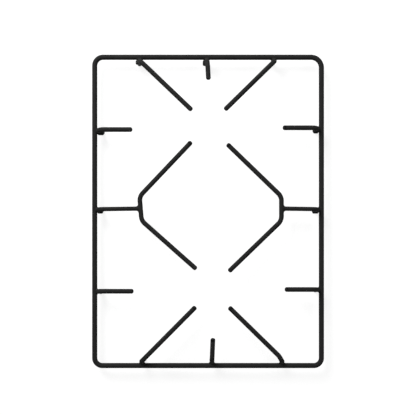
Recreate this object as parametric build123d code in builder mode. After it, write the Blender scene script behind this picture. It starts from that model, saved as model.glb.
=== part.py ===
from build123d import *
import os
from collections import namedtuple
from functools import cache
from math import atan2, cos, degrees, hypot, radians, sin, tan

os.makedirs("parts", exist_ok=True)

# Hob pan support: round steel rod, bent, welded and enamelled black, for two burners one behind the other.
# Millimetres and degrees. +X is right, +Y is to the rear, +Z is up.
# The origin is under the ring's middle, on the hob plate that the feet stand on.

# Ring: one rod bent to a rectangle
ring_width = 290.0  # outside, left to right
ring_length = 392.0  # outside, front to rear
ring_rod = 6.5  # diameter
ring_rear_left_corner = 10.5  # corner bend radius, at the rod's axis
ring_rear_right_corner = 13.0
ring_front_corner = 9.5
ring_height = 15.0  # rod's axis above the hob plate

# Rods that carry the pans
finger_rod = 6.0  # diameter of the fingers and forks
stem_rod = 5.5  # diameter of the stems
finger_lift = 10.0  # their axes above the ring's axis
leg_bend = 8.0  # bend radius, at the axis, where a rod turns down into its leg
tip_round = 2.5  # rounded edge of a finger's or a fork's cut end
foot_round = 1.2  # rounded edge of a foot
foot_trim = 2.0  # length cut off each leg, so that all feet are level

# Welds
weld_sink = 0.6  # how deep a leg is pressed into the ring
weld_reach = 1.4  # how far a bead reaches out from each rod
weld_relief = 0.6  # how far the forks' beads stay under the stems' tops

# Weld runs: thick runs of weld from the ring along one side of some legs
run_rod = 4.4  # diameter
run_round = 1.8  # rounded edge of the ends
run_drop = 2.0  # axis below the ring's axis
rear_left_run = 5.5  # from the ring's inner side to the end
rear_middle_run = 7.0
left_rear_run = 8.0
right_rear_run = 7.0
left_stem_run = 7.0
right_stem_run = 8.0

# Burners, from the ring's middle
rear_burner_x = 0.5
rear_burner_y = 103.0
front_burner_x = 5.5
front_burner_y = -97.0

# Long fingers: they point about at a burner's middle, and each leg stands this far to the side of it
long_finger_gap = 29.7  # from the burner's middle to the tips
rear_left_spread = 86.1
rear_left_skew = 0.7  # turn from the burner's middle, as welded
rear_right_spread = 81.75
rear_right_skew = -0.8
front_left_spread = 88.1
front_left_skew = -0.2
front_right_spread = 86.85
front_right_skew = 0.7
front_right_turn = 13.0  # kink near the front right leg
turn_bend = 8.0  # bend radius of that kink, at the axis
turn_run = 0.3  # straight stretch between the kink and the leg's bend

# Middle fingers: short, and turned a little from the burner's middle, as welded
rear_middle_reach = 24.3  # from the leg's axis to the tip
rear_middle_offset = -2.1  # leg, sideways from the burner's middle
rear_middle_skew = 2.2
front_middle_reach = 30.0
front_middle_offset = -0.7
front_middle_skew = -1.9

# Side fingers: short, and square to the ring's sides
left_rear_reach = 42.5  # from the leg's axis to the tip
left_front_reach = 44.0
right_rear_reach = 43.8
right_front_reach = 41.3
left_finger_offset = -2.25  # finger, along the side from the burner's middle
right_finger_offset = -0.1

# Legs that lean, as welded: how far the foot stands from under the weld
rear_leg_lean = 0.9  # outward, on the ring's rear end
rear_left_lean = -1.2  # along the ring's ends
rear_middle_lean = -1.2
rear_right_lean = -1.8
front_left_lean = 1.2
front_side_lean = -1.2  # along the ring's sides, front side fingers
left_rear_lean = 2.0  # across the ring's sides
right_rear_lean = -0.6
left_stem_lean = 1.8
right_stem_lean = -2.6

# Forks: one bent rod across each stem's end
fork_back = 30.0  # between the corners of the axis
fork_angle = 44.0  # of an arm to the stem's line
fork_bend = 13.0  # bend radius, at the axis
fork_rear_arm = 93.4  # from a corner of the axis to the tip
fork_front_arm = 90.6
left_fork_distance = 86.5  # back's axis from the line between the burners
right_fork_distance = 87.75
left_fork_skew = 2.5  # the left fork is welded on askew
left_back_skew = 2.3  # and its back is bent askew to its arms

# Stems: from the ring's sides to the forks' backs
stem_leg_y = 2.25  # legs, along the side from the ring's middle
stem_sink = 0.8  # how far a stem's end reaches past the fork's axis

# Worked out from the sizes above
ring_x = (ring_width - ring_rod) / 2
ring_y = (ring_length - ring_rod) / 2
top_height = ring_height + finger_lift
finger_inset = (ring_rod + finger_rod) / 2 - weld_sink
stem_inset = (ring_rod + stem_rod) / 2 - weld_sink
side_leg_x = ring_x - finger_inset
end_leg_y = ring_y - finger_inset
stem_leg_x = ring_x - stem_inset
fork_x = (rear_burner_x + front_burner_x) / 2
fork_y = (rear_burner_y + front_burner_y) / 2
rear_burner = (rear_burner_x, rear_burner_y)
front_burner = (front_burner_x, front_burner_y)

# A rod: the corner points of its axis, the bend radius at each of them, its diameter, the rounding of its
# tips and if it is a loop
Rod = namedtuple("Rod", "points bends diameter tip_edge closed")


def step_from(point, heading, length):
    """Plan point at a heading and a distance from another one."""
    return (point[0] + length * cos(radians(heading)), point[1] + length * sin(radians(heading)))


def aim(point, target):
    """Heading and distance in plan from a point to a target."""
    across = target[0] - point[0]
    along = target[1] - point[1]
    return degrees(atan2(along, across)), hypot(across, along)


def at_height(point, height):
    """Point in space above a plan point."""
    return (point[0], point[1], height)


@cache
def rod_solid(rod, extra=0.0):
    """Solid of a rod with rounded ends, or of all that lies within an extra distance of it."""
    with BuildPart() as solid:
        with BuildLine() as axis:
            FilletPolyline(*rod.points, radius=list(rod.bends), close=rod.closed)
        with BuildSketch(Plane(axis.line @ 0, z_dir=axis.line % 0)):
            Circle(rod.diameter / 2 + extra)
        sweep()
        if rod.points[-1][2] < 0:
            split(bisect_by=Plane.XY, keep=Keep.TOP)
            foot = solid.faces().filter_by(GeomType.PLANE).sort_by(Axis.Z)[0]
            fillet(foot.edges(), foot_round)
        if rod.tip_edge > 0:
            tips = solid.faces().filter_by(GeomType.PLANE).group_by(Axis.Z)[-1]
            fillet(tips.edges(), rod.tip_edge)
    return solid


def along_leg(leg, lean, height):
    """Point at a height on the axis of a leg, which passes the ring at a plan point and leans."""
    drop = (ring_height - height) / ring_height
    return (leg[0] + drop * lean[0], leg[1] + drop * lean[1], height)


def legged_rod(tip, leg, lean, diameter, tip_edge):
    """Level rod from its tip to above the leg, where it bends down to the hob plate."""
    corner = along_leg(leg, lean, top_height)
    foot = along_leg(leg, lean, -foot_trim)
    return Rod((at_height(tip, top_height), corner, foot), (leg_bend,), diameter, tip_edge, False)


def long_finger(leg, burner, skew, lean):
    """Finger that points about at a burner's middle and stops short of it."""
    corner = along_leg(leg, lean, top_height)
    heading, distance = aim(corner, burner)
    tip = step_from(corner, heading + skew, distance - long_finger_gap)
    return legged_rod(tip, leg, lean, finger_rod, tip_round)


def kinked_finger(leg, burner, skew, lean, turn):
    """Long finger with a kink in plan where it leaves its leg."""
    turn_length = turn_bend * tan(radians(turn / 2))
    corner = along_leg(leg, lean, top_height)
    heading = aim(corner, burner)[0]
    knee = step_from(corner, heading - turn, leg_bend + turn_run + turn_length)
    knee_heading, knee_distance = aim(knee, burner)
    tip = step_from(knee, knee_heading + skew, knee_distance - long_finger_gap)
    level_points = (at_height(point, top_height) for point in (tip, knee, corner))
    foot = along_leg(leg, lean, -foot_trim)
    return Rod((*level_points, foot), (turn_bend, leg_bend), finger_rod, tip_round, False)


def middle_finger(leg, burner, reach, skew, lean):
    """Short finger on the ring's end, turned a little from the burner's middle."""
    corner = along_leg(leg, lean, top_height)
    heading = aim(corner, burner)[0]
    tip = step_from(corner, heading + skew, reach)
    return legged_rod(tip, leg, lean, finger_rod, tip_round)


def side_finger(side, finger_y, reach, lean):
    """Finger square to the ring's side: -1 is left and 1 is right."""
    leg = (side * side_leg_x, finger_y + lean[1] * finger_lift / ring_height)
    tip = (leg[0] - side * reach, finger_y)
    return legged_rod(tip, leg, lean, finger_rod, tip_round)


def fork(side, distance, skew=0.0, back_skew=0.0):
    """Rod bent twice, with its back across the stem's end and both arms towards the burners."""
    middle = (fork_x + side * distance, fork_y)
    inward = 90 + side * 90 + skew
    corners = [step_from(middle, turn + skew + back_skew, fork_back / 2) for turn in (90, -90)]
    tips = [
        step_from(corners[0], inward - side * fork_angle, fork_rear_arm),
        step_from(corners[1], inward + side * fork_angle, fork_front_arm),
    ]
    axis_points = (at_height(point, top_height) for point in (tips[0], *corners, tips[1]))
    return Rod(tuple(axis_points), (fork_bend, fork_bend), finger_rod, tip_round, False)


def stem(side, distance, lean):
    """Rod from the ring's side to the fork's back. Its end is inside the fork's rod."""
    tip = (fork_x + side * (distance - stem_sink), fork_y)
    return legged_rod(tip, (side * stem_leg_x, stem_leg_y), (lean, 0.0), stem_rod, 0.0)


def cut_to_fit(rod, *neighbours):
    """Solid of a rod with a saddle cut in it for each rod that it is welded to."""
    whole = rod_solid(rod)
    cutters = [rod_solid(neighbour) for neighbour in neighbours]
    with BuildPart() as fitted:
        add(whole.part)
        for cutter in cutters:
            add(cutter.part, mode=Mode.SUBTRACT)
    return fitted


def weld_bead(first, second, reach):
    """Bead round the place where two rods meet: all that is close to both and in neither."""
    rods = [rod_solid(first), rod_solid(second)]
    near_first = rod_solid(first, reach)
    near_second = rod_solid(second, reach)
    with BuildPart() as bead:
        add(near_first.part)
        add(near_second.part, mode=Mode.INTERSECT)
        for rod in rods:
            add(rod.part, mode=Mode.SUBTRACT)
    return bead


def weld_run(rod, inward, beside, reach):
    """Run of weld from the ring's inner side, inward along the side of a leg that a direction gives."""
    corner, foot = (Vector(point) for point in rod.points[-2:])
    at_ring = corner + (foot - corner) * (finger_lift / (top_height + foot_trim))
    ring_gap = rod.diameter / 2 - weld_sink
    start = at_ring + Vector(beside) * (rod.diameter / 2) - Vector(inward) * ring_gap - Vector(0, 0, run_drop)
    with BuildPart(Plane(start, z_dir=inward)) as run:
        Cylinder(run_rod / 2, reach, align=(Align.CENTER, Align.CENTER, Align.MIN))
        fillet(run.edges().filter_by(GeomType.CIRCLE), run_round)
    return run


def leg_bead(rod, run_sizes):
    """Bead between the ring and a leg, with a run of weld beside the leg if sizes for one are given."""
    band = weld_bead(ring, rod, weld_reach)
    if run_sizes is None:
        return band
    run = weld_run(rod, *run_sizes)
    rods = [rod_solid(ring), rod_solid(rod)]
    with BuildPart() as bead:
        add(band.part)
        add(run.part)
        for welded_rod in rods:
            add(welded_rod.part, mode=Mode.SUBTRACT)
    return bead


# Ring
ring_plan = ((-ring_x, -ring_y), (ring_x, -ring_y), (ring_x, ring_y), (-ring_x, ring_y))
ring_points = tuple(at_height(point, ring_height) for point in ring_plan)
ring_corners = (ring_front_corner, ring_front_corner, ring_rear_right_corner, ring_rear_left_corner)
ring = Rod(ring_points, ring_corners, ring_rod, 0.0, True)

# Fingers
rear_left_leg = (rear_burner_x - rear_left_spread, end_leg_y)
rear_right_leg = (rear_burner_x + rear_right_spread, end_leg_y)
rear_middle_leg = (rear_burner_x + rear_middle_offset, end_leg_y)
front_left_leg = (front_burner_x - front_left_spread, -end_leg_y)
front_right_leg = (front_burner_x + front_right_spread, -end_leg_y)
front_middle_leg = (front_burner_x + front_middle_offset, -end_leg_y)
fingers = {
    "rear_left_long_finger": long_finger(
        rear_left_leg, rear_burner, rear_left_skew, (rear_left_lean, rear_leg_lean)
    ),
    "rear_right_long_finger": long_finger(
        rear_right_leg, rear_burner, rear_right_skew, (rear_right_lean, rear_leg_lean)
    ),
    "front_left_long_finger": long_finger(
        front_left_leg, front_burner, front_left_skew, (front_left_lean, 0.0)
    ),
    "front_right_long_finger": kinked_finger(
        front_right_leg, front_burner, front_right_skew, (0.0, 0.0), front_right_turn
    ),
    "rear_middle_finger": middle_finger(
        rear_middle_leg,
        rear_burner,
        rear_middle_reach,
        rear_middle_skew,
        (rear_middle_lean, rear_leg_lean),
    ),
    "front_middle_finger": middle_finger(
        front_middle_leg, front_burner, front_middle_reach, front_middle_skew, (0.0, 0.0)
    ),
    "left_rear_side_finger": side_finger(
        -1, rear_burner_y + left_finger_offset, left_rear_reach, (left_rear_lean, 0.0)
    ),
    "left_front_side_finger": side_finger(
        -1, front_burner_y + left_finger_offset, left_front_reach, (0.0, front_side_lean)
    ),
    "right_rear_side_finger": side_finger(
        1, rear_burner_y + right_finger_offset, right_rear_reach, (right_rear_lean, 0.0)
    ),
    "right_front_side_finger": side_finger(
        1, front_burner_y + right_finger_offset, right_front_reach, (0.0, front_side_lean)
    ),
}

# Forks and stems
left_fork = fork(-1, left_fork_distance, left_fork_skew, left_back_skew)
right_fork = fork(1, right_fork_distance)
left_stem = stem(-1, left_fork_distance, left_stem_lean)
right_stem = stem(1, right_fork_distance, right_stem_lean)

# Beads between the ring and each leg, some with a run of weld: its direction, its side of the leg, its reach
legged_rods = {**fingers, "left_stem": left_stem, "right_stem": right_stem}
weld_runs = {
    "rear_left_long_finger": ((0, -1, 0), (-1, 0, 0), rear_left_run),
    "rear_middle_finger": ((0, -1, 0), (-1, 0, 0), rear_middle_run),
    "left_rear_side_finger": ((1, 0, 0), (0, -1, 0), left_rear_run),
    "right_rear_side_finger": ((-1, 0, 0), (0, -1, 0), right_rear_run),
    "left_stem": ((1, 0, 0), (0, -1, 0), left_stem_run),
    "right_stem": ((-1, 0, 0), (0, -1, 0), right_stem_run),
}
leg_beads = [leg_bead(rod, weld_runs.get(name)) for name, rod in legged_rods.items()]
with BuildPart() as leg_welds:
    for bead in leg_beads:
        add(bead.part)

# Beads between the forks and their stems, kept under the stems' tops so that pans clear them
fork_pairs = ((left_fork, left_stem), (right_fork, right_stem))
fork_beads = [weld_bead(*pair, weld_reach) for pair in fork_pairs]
with BuildPart() as fork_welds:
    for bead in fork_beads:
        add(bead.part)
    split(bisect_by=Plane.XY.offset(top_height + stem_rod / 2 - weld_relief), keep=Keep.BOTTOM)

# Finished pieces
pieces = {name: cut_to_fit(rod, ring) for name, rod in fingers.items()}
pieces["frame_ring"] = rod_solid(ring)
pieces["left_stem"] = cut_to_fit(left_stem, ring, left_fork)
pieces["right_stem"] = cut_to_fit(right_stem, ring, right_fork)
pieces["left_fork"] = rod_solid(left_fork)
pieces["right_fork"] = rod_solid(right_fork)
pieces["leg_welds"] = leg_welds
pieces["fork_welds"] = fork_welds

for name, piece in pieces.items():
    piece.part.label = name
    export_step(piece.part, f"parts/{name}.step")
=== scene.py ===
from collections import namedtuple
from math import atan2, ceil, cos, degrees, hypot, pi, radians, sin, tan

import bmesh
import bpy
import numpy as np
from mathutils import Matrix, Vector, noise


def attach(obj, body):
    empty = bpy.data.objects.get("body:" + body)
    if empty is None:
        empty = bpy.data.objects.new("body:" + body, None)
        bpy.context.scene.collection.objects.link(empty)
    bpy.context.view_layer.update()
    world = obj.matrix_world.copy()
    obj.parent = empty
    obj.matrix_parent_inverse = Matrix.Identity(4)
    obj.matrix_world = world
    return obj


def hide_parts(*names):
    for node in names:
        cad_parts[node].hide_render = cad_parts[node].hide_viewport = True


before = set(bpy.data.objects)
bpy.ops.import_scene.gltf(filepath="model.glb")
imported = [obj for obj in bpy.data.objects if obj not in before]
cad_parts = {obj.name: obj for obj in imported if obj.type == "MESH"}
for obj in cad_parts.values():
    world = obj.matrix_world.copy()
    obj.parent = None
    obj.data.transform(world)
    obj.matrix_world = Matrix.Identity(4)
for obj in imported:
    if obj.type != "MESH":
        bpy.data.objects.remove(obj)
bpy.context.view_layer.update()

# Hob pan support: round steel rod, bent, welded and enamelled black, for two burners one behind the other.
# Sizes are in millimetres and degrees, the same values as in the part's source. Meshes are in metres.
# +X is right, +Y is to the rear, +Z is up, and the feet stand on z = 0.

MM = 0.001
UP = np.array((0.0, 0.0, 1.0))
LEFT = np.array((-1.0, 0.0, 0.0))
RIGHT = np.array((1.0, 0.0, 0.0))
FRONT = np.array((0.0, -1.0, 0.0))
WHITE = (1, 1, 1, 1)
body = "root"
finish_slot = "black_enamel"

# Ring: one rod bent to a rectangle
ring_width = 290.0  # outside, left to right
ring_length = 392.0  # outside, front to rear
ring_rod = 6.5  # diameter
ring_rear_left_corner = 10.5  # corner bend radius, at the rod's axis
ring_rear_right_corner = 13.0
ring_front_corner = 9.5
ring_height = 15.0  # rod's axis above the hob plate

# Rods that carry the pans
finger_rod = 6.0  # diameter of the fingers and forks
stem_rod = 5.5  # diameter of the stems
finger_lift = 10.0  # their axes above the ring's axis
leg_bend = 8.0  # bend radius, at the axis, where a rod turns down into its leg
tip_round = 2.5  # rounded edge of a cut end
foot_round = 1.2  # rounded edge of a foot
weld_sink = 0.6  # how deep a leg is pressed into the ring

# Weld runs: thick runs of weld from the ring along one side of some legs
run_rod = 4.4  # diameter
run_round = 1.8  # rounded edge of the ends
run_drop = 2.0  # axis below the ring's axis
rear_left_run = 5.5  # from the ring's inner side to the end
rear_middle_run = 7.0
left_rear_run = 8.0
right_rear_run = 7.0
left_stem_run = 7.0
right_stem_run = 8.0

# Burners, from the ring's middle
rear_burner = (0.5, 103.0)
front_burner = (5.5, -97.0)

# Long fingers: they point about at a burner's middle, and each leg stands this far to the side of it
long_finger_gap = 29.7  # from the burner's middle to the tips
rear_left_spread = 86.1
rear_left_skew = 0.7  # turn from the burner's middle, as welded
rear_right_spread = 81.75
rear_right_skew = -0.8
front_left_spread = 88.1
front_left_skew = -0.2
front_right_spread = 86.85
front_right_skew = 0.7
front_right_turn = 13.0  # kink near the front right leg
turn_bend = 8.0  # bend radius of that kink, at the axis
turn_run = 0.3  # straight stretch between the kink and the leg's bend

# Middle fingers: short, and turned a little from the burner's middle, as welded
rear_middle_reach = 24.3  # from the leg's axis to the tip
rear_middle_offset = -2.1  # leg, sideways from the burner's middle
rear_middle_skew = 2.2
front_middle_reach = 30.0
front_middle_offset = -0.7
front_middle_skew = -1.9

# Side fingers: short, and square to the ring's sides
left_rear_reach = 42.5  # from the leg's axis to the tip
left_front_reach = 44.0
right_rear_reach = 43.8
right_front_reach = 41.3
left_finger_offset = -2.25  # finger, along the side from the burner's middle
right_finger_offset = -0.1

# Legs that lean, as welded: how far the foot stands from under the weld
rear_leg_lean = 0.9  # outward, on the ring's rear end
rear_left_lean = -1.2  # along the ring's ends
rear_middle_lean = -1.2
rear_right_lean = -1.8
front_left_lean = 1.2
front_side_lean = -1.2  # along the ring's sides, front side fingers
left_rear_lean = 2.0  # across the ring's sides
right_rear_lean = -0.6
left_stem_lean = 1.8
right_stem_lean = -2.6

# Forks: one bent rod across each stem's end
fork_back = 30.0  # between the corners of the axis
fork_angle = 44.0  # of an arm to the stem's line
fork_bend = 13.0  # bend radius, at the axis
fork_rear_arm = 93.4  # from a corner of the axis to the tip
fork_front_arm = 90.6
left_fork_distance = 86.5  # back's axis from the line between the burners
right_fork_distance = 87.75
left_fork_skew = 2.5  # the left fork is welded on askew
left_back_skew = 2.3  # and its back is bent askew to its arms

# Stems: from the ring's sides to the forks' backs
stem_leg_y = 2.25  # legs, along the side from the ring's middle
stem_sink = 0.8  # how far a stem's end reaches past the fork's axis

# Enamelled welds: the hollow that the bead and the enamel leave in the corner between two rods
leg_hollow = 1.6  # radius
fork_hollow = 2.4
hollow_unevenness = 0.16  # share of the radius
hollow_wave = 4.0  # length of one swell
bead_skirt = 0.5  # how far a bead runs on under the skin of a rod
bead_skirt_depth = 0.12  # below that skin, where the skirt ends
bead_root_depth = 0.6  # below it, at the bead's hidden root

# Enamel coat
dip_depth = 0.06  # the coat is up to this much thinner in places
dip_wave = 9.0  # length of one swell

# Enamel finish
enamel_dark = (0.0125, 0.0125, 0.0125)
enamel_light = (0.0165, 0.0165, 0.0163)
cloud_size = 14.0  # of the faint clouds in the colour
cloud_detail = 4.0
enamel_gloss = 0.06  # specular level
enamel_roughness = (0.65, 0.75)
gloss_size = 5.0  # of the patches that are duller or shinier
gloss_detail = 3.0
ripple_size = 0.9  # of the fine ripple in the fired coat
ripple_detail = 2.0
ripple_depth = 0.02
swell_size = 4.5  # of its slower swell
swell_detail = 1.0
swell_depth = 0.07
noise_range = (0.3, 0.7)  # values that a noise mostly takes

# Stage
floor_reach = 12000.0  # from the middle to the sides
floor_grey = 0.25  # what the floor gives back of the light on it
floor_glow = 0.85  # what is added where the floor is seen, so that it looks white
room_level = 0.05  # light that the white room itself gives
main_lamp = (-600.0, 900.0, 900.0)
main_lamp_size = 700.0
main_lamp_power = 27.0  # watts
fill_lamp = (1400.0, -200.0, 1300.0)
fill_lamp_size = 1000.0
fill_lamp_power = 8.0
view_width = 519.0  # of the picture, at the ring's height
camera_rise = 903.0  # above the ring's axis
camera_x = -0.7
camera_y = -47.0
camera_shift = 0.1  # moves the view to the rear by this share of its width
sensor_width = 36.0

# Mesh fineness
around_count = 40  # corners of a rod's section
run_step = 2.5  # longest step along a straight stretch
bend_step = 3.0  # longest step round a bend, in degrees
edge_count = 6  # steps round the edge of a cut end
cap_share = 0.85  # radius of an extra loop on the flat of a cut end, as a share of the flat's
bead_count = 72  # sections of a weld bead
bead_arc_count = 8  # steps across a bead's hollow
bead_passes = 60  # steps that bring the ball to rest against both rods
merge_distance = 0.0001  # points nearer than this become one

# Worked out from the sizes above
ring_x = (ring_width - ring_rod) / 2
ring_y = (ring_length - ring_rod) / 2
top_height = ring_height + finger_lift
finger_inset = (ring_rod + finger_rod) / 2 - weld_sink
stem_inset = (ring_rod + stem_rod) / 2 - weld_sink
side_leg_x = ring_x - finger_inset
end_leg_y = ring_y - finger_inset
stem_leg_x = ring_x - stem_inset
fork_x = (rear_burner[0] + front_burner[0]) / 2
fork_y = (rear_burner[1] + front_burner[1]) / 2

# A rod: the corner points of its axis, the bend radius at each of them, its diameter, the rounding of its
# tips and if it is a loop
Rod = namedtuple("Rod", "points bends diameter tip_edge closed")


def step_from(point, heading, length):
    """Plan point at a heading and a distance from another one."""
    return (point[0] + length * cos(radians(heading)), point[1] + length * sin(radians(heading)))


def aim(point, target):
    """Heading and distance in plan from a point to a target."""
    across = target[0] - point[0]
    along = target[1] - point[1]
    return degrees(atan2(along, across)), hypot(across, along)


def at_height(point, height):
    """Point in space above a plan point."""
    return (point[0], point[1], height)


def along_leg(leg, lean, height):
    """Point at a height on the axis of a leg, which passes the ring at a plan point and leans."""
    drop = (ring_height - height) / ring_height
    return (leg[0] + drop * lean[0], leg[1] + drop * lean[1], height)


def legged_rod(tip, leg, lean, diameter):
    """Level rod from its tip to above the leg, where it bends down to the hob plate."""
    corner = along_leg(leg, lean, top_height)
    foot = along_leg(leg, lean, 0.0)
    return Rod((at_height(tip, top_height), corner, foot), (leg_bend,), diameter, tip_round, closed=False)


def long_finger(leg, burner, skew, lean):
    """Finger that points about at a burner's middle and stops short of it."""
    corner = along_leg(leg, lean, top_height)
    heading, distance = aim(corner, burner)
    tip = step_from(corner, heading + skew, distance - long_finger_gap)
    return legged_rod(tip, leg, lean, finger_rod)


def kinked_finger(leg, burner, skew, lean, turn):
    """Long finger with a kink in plan where it leaves its leg."""
    turn_length = turn_bend * tan(radians(turn / 2))
    corner = along_leg(leg, lean, top_height)
    heading = aim(corner, burner)[0]
    knee = step_from(corner, heading - turn, leg_bend + turn_run + turn_length)
    knee_heading, knee_distance = aim(knee, burner)
    tip = step_from(knee, knee_heading + skew, knee_distance - long_finger_gap)
    level_points = (at_height(point, top_height) for point in (tip, knee, corner))
    foot = along_leg(leg, lean, 0.0)
    return Rod((*level_points, foot), (turn_bend, leg_bend), finger_rod, tip_round, closed=False)


def middle_finger(leg, burner, reach, skew, lean):
    """Short finger on the ring's end, turned a little from the burner's middle."""
    corner = along_leg(leg, lean, top_height)
    heading = aim(corner, burner)[0]
    tip = step_from(corner, heading + skew, reach)
    return legged_rod(tip, leg, lean, finger_rod)


def side_finger(side, finger_y, reach, lean):
    """Finger square to the ring's side: -1 is left and 1 is right."""
    leg = (side * side_leg_x, finger_y + lean[1] * finger_lift / ring_height)
    tip = (leg[0] - side * reach, finger_y)
    return legged_rod(tip, leg, lean, finger_rod)


def fork(side, distance, skew=0.0, back_skew=0.0):
    """Rod bent twice, with its back across the stem's end and both arms towards the burners."""
    middle = (fork_x + side * distance, fork_y)
    inward = 90 + side * 90 + skew
    corners = [step_from(middle, turn + skew + back_skew, fork_back / 2) for turn in (90, -90)]
    tips = [
        step_from(corners[0], inward - side * fork_angle, fork_rear_arm),
        step_from(corners[1], inward + side * fork_angle, fork_front_arm),
    ]
    level_points = tuple(at_height(point, top_height) for point in (tips[0], *corners, tips[1]))
    return Rod(level_points, (fork_bend, fork_bend), finger_rod, tip_round, closed=False)


def stem(side, distance, lean):
    """Rod from the ring's side to the fork's back. Its end is inside the fork's rod."""
    tip = (fork_x + side * (distance - stem_sink), fork_y)
    return legged_rod(tip, (side * stem_leg_x, stem_leg_y), (lean, 0.0), stem_rod)


def unit(vectors):
    """Vectors of length 1 in the same directions."""
    return vectors / np.linalg.norm(vectors, axis=-1, keepdims=True)


def round_angles(count):
    """Evenly spaced angles once round, in radians."""
    return np.linspace(0, 2 * pi, count, endpoint=False)


def smooth_noise(points, wave):
    """Noise from about -1 to 1 at each point, in swells of about one length."""
    values = [noise.noise(Vector(point / wave)) for point in points.reshape(-1, 3)]
    return np.array(values).reshape(points.shape[:-1])


def bend_points(before, corner, after, radius):
    """Points round a bend of a rod's axis, and the axis's direction at each of them."""
    entry = unit(corner - before)
    leave = unit(after - corner)
    turn = np.arccos(np.clip(entry @ leave, -1, 1))
    inward = unit(leave - entry * cos(turn))
    start = corner - entry * radius * tan(turn / 2)
    angles = np.linspace(0, turn, 1 + ceil(degrees(turn) / bend_step))[:, None]
    points = start + radius * (np.sin(angles) * entry + (1 - np.cos(angles)) * inward)
    return points, np.cos(angles) * entry + np.sin(angles) * inward


def run_points(start, finish):
    """Evenly spaced points of a straight stretch, without its ends, and its direction at each of them."""
    count = ceil(np.linalg.norm(finish - start) / run_step)
    shares = np.linspace(0, 1, count + 1)[1:-1, None]
    points = start + shares * (finish - start)
    return points, np.broadcast_to(unit(finish - start), points.shape)


def axis_points(rod):
    """Points along a rod's axis without its two ends, and the axis's direction at each of them."""
    corners = [np.array(point) for point in rod.points]
    if rod.closed:
        corners = [corners[-1], *corners, corners[0]]
    bends = [bend_points(*corners[i : i + 3], radius) for i, radius in enumerate(rod.bends)]
    stretches = []
    previous = bends[-1][0][-1] if rod.closed else corners[0]
    for bend in bends:
        stretches += [run_points(previous, bend[0][0]), bend]
        previous = bend[0][-1]
    if not rod.closed:
        stretches.append(run_points(previous, corners[-1]))
    points, directions = (np.concatenate(column) for column in zip(*stretches))
    return points, directions


def whole_axis(rod):
    """All points of a rod's axis, its ends included."""
    points = axis_points(rod)[0]
    if rod.closed:
        return np.concatenate([points, points[:1]])
    return np.concatenate([rod.points[:1], points, rod.points[-1:]])


def nearest_on(axis, points):
    """Nearest points on an axis, given as a line of points."""
    starts = axis[:-1]
    spans = np.diff(axis, axis=0)
    shares = ((points[:, None] - starts) * spans).sum(-1) / (spans * spans).sum(-1)
    candidates = starts + np.clip(shares, 0, 1)[..., None] * spans
    best = np.linalg.norm(candidates - points[:, None], axis=-1).argmin(1)
    return candidates[np.arange(len(points)), best]


def carried_sides(directions):
    """A side vector square to each direction, carried along without twist."""
    side = unit(np.cross(directions[0], UP))
    sides = []
    for direction in directions:
        side = unit(side - (side @ direction) * direction)
        sides.append(side)
    return np.array(sides)


def coat(points, outward):
    """Surface points moved in where the enamel is thinner."""
    dips = dip_depth * (1 + smooth_noise(points, dip_wave)) / 2
    return points - dips[..., None] * outward


def end_loops(end, outward, facing, radials, radius, edge):
    """Loops over the rounded edge of a cut end, from the rod's side to the middle of the flat.

    The rod leaves its end in the direction outward. The cut faces that way too, or down at a level foot.
    """
    angles = np.linspace(0, pi / 2, edge_count + 1)
    edge_radii = radius - edge + edge * np.cos(angles)
    depths = edge * (1 - np.sin(angles))
    edge_radii = np.append(edge_radii, (edge_radii[-1] * cap_share, 0.0))
    depths = np.append(depths, (0.0, 0.0))
    loops = end + edge_radii[:, None, None] * radials
    slides = (-depths[:, None] - (loops - end) @ facing) / (outward @ facing)
    return loops + slides[..., None] * outward


def rod_loops(rod):
    """Loops of points round a rod, from end to end. A last end on the hob plate is a level foot."""
    points, directions = axis_points(rod)
    sides = carried_sides(directions)
    turns = round_angles(around_count)[:, None]
    radials = np.cos(turns) * np.cross(sides, directions)[:, None] + np.sin(turns) * sides[:, None]
    radius = rod.diameter / 2
    loops = coat(points[:, None] + radius * radials, radials)
    if rod.closed:
        return loops
    first, last = (np.array(rod.points[place]) for place in (0, -1))
    start = end_loops(first, -directions[0], -directions[0], radials[0], radius, rod.tip_edge)
    facing, edge = (-UP, foot_round) if last[2] <= 0 else (directions[-1], rod.tip_edge)
    finish = end_loops(last, directions[-1], facing, radials[-1], radius, edge)
    return np.concatenate([start[::-1], loops, finish])


def bead_loops(first, second, centres, hollow):
    """Sections of the bead round the place where two rods meet.

    A ball as large as the hollow rolls round that place and touches both rods. Each section is the
    ball's arc between the two rods, with a skirt under the skin of each rod and a root between them.
    """
    ball = hollow * (1 + hollow_unevenness * smooth_noise(centres, hollow_wave))[:, None]
    axes = whole_axis(first), whole_axis(second)
    radii = first.diameter / 2, second.diameter / 2
    for _ in range(bead_passes):
        for axis, radius in zip(axes, radii):
            feet = nearest_on(axis, centres)
            centres = feet + (radius + ball) * unit(centres - feet)
    normals = [unit(centres - nearest_on(axis, centres)) for axis in axes]
    cosine = (normals[0] * normals[1]).sum(-1, keepdims=True)
    opening = np.arccos(np.clip(cosine, -1, 1))
    arc = []
    for share in np.linspace(0, 1, bead_arc_count + 1):
        weights = np.sin((1 - share) * opening), np.sin(share * opening)
        toward = -(weights[0] * normals[0] + weights[1] * normals[1]) / np.sin(opening)
        arc.append(centres + ball * toward)
    skirts = []
    for normal, other, edge in ((*normals, arc[0]), (*reversed(normals), arc[-1])):
        hem = edge + bead_skirt * unit(other - cosine * normal)
        skirts.append((hem - bead_root_depth * normal, hem - bead_skirt_depth * normal))
    root = centres - unit(normals[0] + normals[1]) * (ball / np.cos(opening / 2) + bead_root_depth)
    return np.stack([*skirts[0], *arc, *reversed(skirts[1]), root], axis=1)


def leg_at_ring(rod):
    """Point of a leg's axis at the ring's height."""
    corner, foot = (np.array(point) for point in rod.points[-2:])
    return corner + (foot - corner) * finger_lift / top_height


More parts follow.
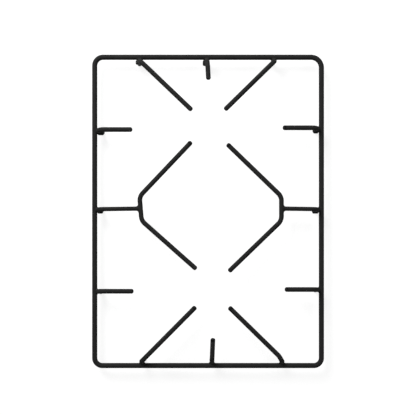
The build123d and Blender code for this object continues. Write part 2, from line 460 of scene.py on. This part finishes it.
def leg_bead(ring_axis, leg_axis):
    """Bead between the ring and a leg."""
    at_ring = leg_at_ring(leg_axis)
    ring_point = nearest_on(whole_axis(ring_axis), at_ring[None])[0]
    inward = unit(at_ring - ring_point)
    gap = np.linalg.norm(at_ring - ring_point)
    along = np.cross(inward, UP)
    ring_reach = ring_axis.diameter / 2 + leg_hollow
    leg_reach = leg_axis.diameter / 2 + leg_hollow
    turns = round_angles(bead_count)
    tilts = np.arccos((gap - leg_reach) / ring_reach) * np.cos(turns)
    spreads = np.sqrt(np.maximum(leg_reach**2 - (ring_reach * np.cos(tilts) - gap) ** 2, 0))
    spreads *= np.sign(np.sin(turns))
    centres = (
        ring_point
        + np.outer(ring_reach * np.cos(tilts), inward)
        + np.outer(ring_reach * np.sin(tilts), UP)
        + np.outer(spreads, along)
    )
    return bead_loops(ring_axis, leg_axis, centres, leg_hollow)


def fork_bead(fork_axis, stem_axis):
    """Bead between a fork's back and the end of its stem."""
    tip, bend_top = (np.array(point) for point in stem_axis.points[:2])
    outward = unit(bend_top - tip)
    joint = nearest_on(whole_axis(fork_axis), tip[None])[0]
    across = np.cross(outward, UP)
    stem_reach = stem_axis.diameter / 2 + fork_hollow
    fork_reach = fork_axis.diameter / 2 + fork_hollow
    turns = round_angles(bead_count)
    heights = stem_reach * np.sin(turns)
    centres = (
        joint
        + np.outer(stem_reach * np.cos(turns), across)
        + np.outer(heights, UP)
        + np.outer(np.sqrt(fork_reach**2 - heights**2), outward)
    )
    return bead_loops(fork_axis, stem_axis, centres, fork_hollow)


def weld_run(rod, inward, beside, reach):
    """Run of weld from the ring's inner side, inward along the side of a leg that a direction gives."""
    ring_gap = rod.diameter / 2 - weld_sink
    start = leg_at_ring(rod) + beside * rod.diameter / 2 - inward * ring_gap - UP * run_drop
    return rod_loops(Rod((start, start + inward * reach), (), run_rod, run_round, closed=False))


def loop_faces(loop_count, point_count, closed):
    """Four-sided faces between loops of points that are joined round."""
    faces = []
    for loop in range(loop_count if closed else loop_count - 1):
        here = loop * point_count
        there = (loop + 1) % loop_count * point_count
        for point in range(point_count):
            beside = (point + 1) % point_count
            faces.append((here + point, here + beside, there + beside, there + point))
    return faces


def loop_mesh(name, skins):
    """Mesh of one or more skins, each a stack of loops and if its last loop meets its first."""
    shape = bmesh.new()
    for loops, closed in skins:
        vertices = [shape.verts.new(point) for point in loops.reshape(-1, 3) * MM]
        for face in loop_faces(*loops.shape[:2], closed):
            shape.faces.new([vertices[corner] for corner in face])
    bmesh.ops.remove_doubles(shape, verts=shape.verts, dist=merge_distance * MM)
    bmesh.ops.recalc_face_normals(shape, faces=shape.faces)
    mesh = bpy.data.meshes.new(name)
    shape.to_mesh(mesh)
    shape.free()
    mesh.polygons.foreach_set("use_smooth", [True] * len(mesh.polygons))
    return mesh


def link(tree, source, socket, target, target_socket):
    """Wire between two nodes."""
    tree.links.new(source.outputs[socket], target.inputs[target_socket])


def noise_node(tree, coordinates, feature, detail):
    """Noise with features of about one size, in millimetres."""
    node = tree.nodes.new("ShaderNodeTexNoise")
    node.inputs["Scale"].default_value = 1 / (feature * MM)
    node.inputs["Detail"].default_value = detail
    link(tree, coordinates, "Object", node, "Vector")
    return node


def ranged(tree, source, low, high):
    """Noise spread over a range of values."""
    node = tree.nodes.new("ShaderNodeMapRange")
    node.inputs["From Min"].default_value = noise_range[0]
    node.inputs["From Max"].default_value = noise_range[1]
    node.inputs["To Min"].default_value = low
    node.inputs["To Max"].default_value = high
    link(tree, source, "Fac", node, "Value")
    return node


def bump_node(tree, source, depth):
    """Bumps of a depth in millimetres."""
    node = tree.nodes.new("ShaderNodeBump")
    node.inputs["Distance"].default_value = depth * MM
    link(tree, source, "Fac", node, "Height")
    return node


def math_node(tree, operation, first, socket, second):
    """Arithmetic on one node's output and a number, or another node and its output."""
    node = tree.nodes.new("ShaderNodeMath")
    node.operation = operation
    link(tree, first, socket, node, 0)
    if isinstance(second, float):
        node.inputs[1].default_value = second
    else:
        link(tree, *second, node, 1)
    return node


def seen_node(tree):
    """1 on rays that show the background: from the camera, or by way of gloss or glass."""
    light_path = tree.nodes.new("ShaderNodeLightPath")
    plain = math_node(tree, "MAXIMUM", light_path, "Is Camera Ray", (light_path, "Is Glossy Ray"))
    return math_node(tree, "MAXIMUM", plain, "Value", (light_path, "Is Transmission Ray"))


def enamel_material():
    """Satin black vitreous enamel: faint clouds in colour and gloss, and the ripple of a fired coat."""
    material = bpy.data.materials.new(finish_slot)
    material.use_nodes = True
    tree = material.node_tree
    shader = tree.nodes["Principled BSDF"]
    shader.inputs["Specular IOR Level"].default_value = enamel_gloss
    coordinates = tree.nodes.new("ShaderNodeTexCoord")

    clouds = noise_node(tree, coordinates, cloud_size, cloud_detail)
    ramp = tree.nodes.new("ShaderNodeValToRGB")
    for element, place, colour in zip(ramp.color_ramp.elements, noise_range, (enamel_dark, enamel_light)):
        element.position = place
        element.color = (*colour, 1)
    link(tree, clouds, "Fac", ramp, "Fac")
    link(tree, ramp, "Color", shader, "Base Color")

    gloss = noise_node(tree, coordinates, gloss_size, gloss_detail)
    roughness = ranged(tree, gloss, *enamel_roughness)
    link(tree, roughness, "Result", shader, "Roughness")

    ripple = bump_node(tree, noise_node(tree, coordinates, ripple_size, ripple_detail), ripple_depth)
    swell = bump_node(tree, noise_node(tree, coordinates, swell_size, swell_detail), swell_depth)
    link(tree, ripple, "Normal", swell, "Normal")
    link(tree, swell, "Normal", shader, "Normal")
    return material


def floor_material():
    """Pale matt floor that looks white and keeps a faint shadow."""
    material = bpy.data.materials.new("pale_floor")
    material.use_nodes = True
    tree = material.node_tree
    tree.nodes.remove(tree.nodes["Principled BSDF"])
    output = tree.nodes["Material Output"]
    diffuse = tree.nodes.new("ShaderNodeBsdfDiffuse")
    diffuse.inputs["Color"].default_value = (floor_grey, floor_grey, floor_grey, 1)
    glow = tree.nodes.new("ShaderNodeEmission")
    level = math_node(tree, "MULTIPLY", seen_node(tree), "Value", floor_glow)
    link(tree, level, "Value", glow, "Strength")
    total = tree.nodes.new("ShaderNodeAddShader")
    link(tree, diffuse, "BSDF", total, 0)
    link(tree, glow, "Emission", total, 1)
    link(tree, total, "Shader", output, "Surface")
    return material


def add_object(name, data):
    """New object in the scene, of a mesh, a lamp or a camera."""
    new_object = bpy.data.objects.new(name, data)
    bpy.context.scene.collection.objects.link(new_object)
    return new_object


def add_piece(node, skins, material):
    """Piece that stands for a node of the frame."""
    piece = add_object(f"{node}_enamelled", loop_mesh(node, skins))
    piece.data.materials.append(material)
    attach(piece, body)
    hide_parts(node)


def add_floor():
    """Plain floor under the feet."""
    reach = floor_reach * MM
    corners = [(-reach, -reach, 0), (reach, -reach, 0), (reach, reach, 0), (-reach, reach, 0)]
    mesh = bpy.data.meshes.new("floor")
    mesh.from_pydata(corners, [], [(0, 1, 2, 3)])
    mesh.materials.append(floor_material())
    floor = add_object("floor", mesh)


def add_world():
    """Room that looks white and gives little light of its own."""
    world = bpy.data.worlds.new("studio")
    bpy.context.scene.world = world
    world.use_nodes = True
    tree = world.node_tree
    background = tree.nodes["Background"]
    background.inputs["Color"].default_value = WHITE
    level = math_node(tree, "MAXIMUM", seen_node(tree), "Value", room_level)
    link(tree, level, "Value", background, "Strength")


def add_lamp(name, location, size, power):
    """Square soft lamp aimed at the middle of the plane that the feet stand on."""
    lamp = bpy.data.lights.new(name, "AREA")
    lamp.shape = "SQUARE"
    lamp.size = size * MM
    lamp.energy = power
    holder = add_object(name, lamp)
    holder.location = Vector(location) * MM
    holder.rotation_euler = (-Vector(location)).to_track_quat("-Z", "Y").to_euler()


def add_camera():
    """Camera that looks straight down, from in front of the object's middle."""
    camera = bpy.data.cameras.new("camera")
    camera.sensor_width = sensor_width
    camera.lens = sensor_width * camera_rise / view_width
    camera.shift_y = camera_shift
    holder = add_object("camera", camera)
    holder.location = Vector((camera_x, camera_y, ring_height + camera_rise)) * MM
    bpy.context.scene.camera = holder


# Ring
ring_plan = ((-ring_x, -ring_y), (ring_x, -ring_y), (ring_x, ring_y), (-ring_x, ring_y))
ring_points = tuple(at_height(point, ring_height) for point in ring_plan)
ring_corners = (ring_front_corner, ring_front_corner, ring_rear_right_corner, ring_rear_left_corner)
ring = Rod(ring_points, ring_corners, ring_rod, tip_edge=0.0, closed=True)

# Fingers
rear_left_leg = (rear_burner[0] - rear_left_spread, end_leg_y)
rear_right_leg = (rear_burner[0] + rear_right_spread, end_leg_y)
rear_middle_leg = (rear_burner[0] + rear_middle_offset, end_leg_y)
front_left_leg = (front_burner[0] - front_left_spread, -end_leg_y)
front_right_leg = (front_burner[0] + front_right_spread, -end_leg_y)
front_middle_leg = (front_burner[0] + front_middle_offset, -end_leg_y)
fingers = {
    "rear_left_long_finger": long_finger(
        rear_left_leg, rear_burner, rear_left_skew, (rear_left_lean, rear_leg_lean)
    ),
    "rear_right_long_finger": long_finger(
        rear_right_leg, rear_burner, rear_right_skew, (rear_right_lean, rear_leg_lean)
    ),
    "front_left_long_finger": long_finger(
        front_left_leg, front_burner, front_left_skew, (front_left_lean, 0.0)
    ),
    "front_right_long_finger": kinked_finger(
        front_right_leg, front_burner, front_right_skew, (0.0, 0.0), front_right_turn
    ),
    "rear_middle_finger": middle_finger(
        rear_middle_leg,
        rear_burner,
        rear_middle_reach,
        rear_middle_skew,
        (rear_middle_lean, rear_leg_lean),
    ),
    "front_middle_finger": middle_finger(
        front_middle_leg, front_burner, front_middle_reach, front_middle_skew, (0.0, 0.0)
    ),
    "left_rear_side_finger": side_finger(
        -1, rear_burner[1] + left_finger_offset, left_rear_reach, (left_rear_lean, 0.0)
    ),
    "left_front_side_finger": side_finger(
        -1, front_burner[1] + left_finger_offset, left_front_reach, (0.0, front_side_lean)
    ),
    "right_rear_side_finger": side_finger(
        1, rear_burner[1] + right_finger_offset, right_rear_reach, (right_rear_lean, 0.0)
    ),
    "right_front_side_finger": side_finger(
        1, front_burner[1] + right_finger_offset, right_front_reach, (0.0, front_side_lean)
    ),
}

# Forks and stems
forks = {
    "left_fork": fork(-1, left_fork_distance, left_fork_skew, left_back_skew),
    "right_fork": fork(1, right_fork_distance),
}
stems = {
    "left_stem": stem(-1, left_fork_distance, left_stem_lean),
    "right_stem": stem(1, right_fork_distance, right_stem_lean),
}

# Runs of weld beside legs: direction, side of the leg and reach
weld_runs = {
    "rear_left_long_finger": (FRONT, LEFT, rear_left_run),
    "rear_middle_finger": (FRONT, LEFT, rear_middle_run),
    "left_rear_side_finger": (RIGHT, FRONT, left_rear_run),
    "right_rear_side_finger": (LEFT, FRONT, right_rear_run),
    "left_stem": (RIGHT, FRONT, left_stem_run),
    "right_stem": (LEFT, FRONT, right_stem_run),
}

# Pieces
enamel = enamel_material()
legged_rods = {**fingers, **stems}
for node, rod in {"frame_ring": ring, **legged_rods, **forks}.items():
    add_piece(node, [(rod_loops(rod), rod.closed)], enamel)
leg_beads = [(leg_bead(ring, rod), True) for rod in legged_rods.values()]
leg_beads += [(weld_run(legged_rods[node], *run), False) for node, run in weld_runs.items()]
add_piece("leg_welds", leg_beads, enamel)
fork_beads = [(fork_bead(*pair), True) for pair in zip(forks.values(), stems.values())]
add_piece("fork_welds", fork_beads, enamel)

# Stage
add_floor()
add_world()
add_lamp("main_lamp", main_lamp, main_lamp_size, main_lamp_power)
add_lamp("fill_lamp", fill_lamp, fill_lamp_size, fill_lamp_power)
add_camera()
bpy.context.scene.view_settings.view_transform = "Standard"
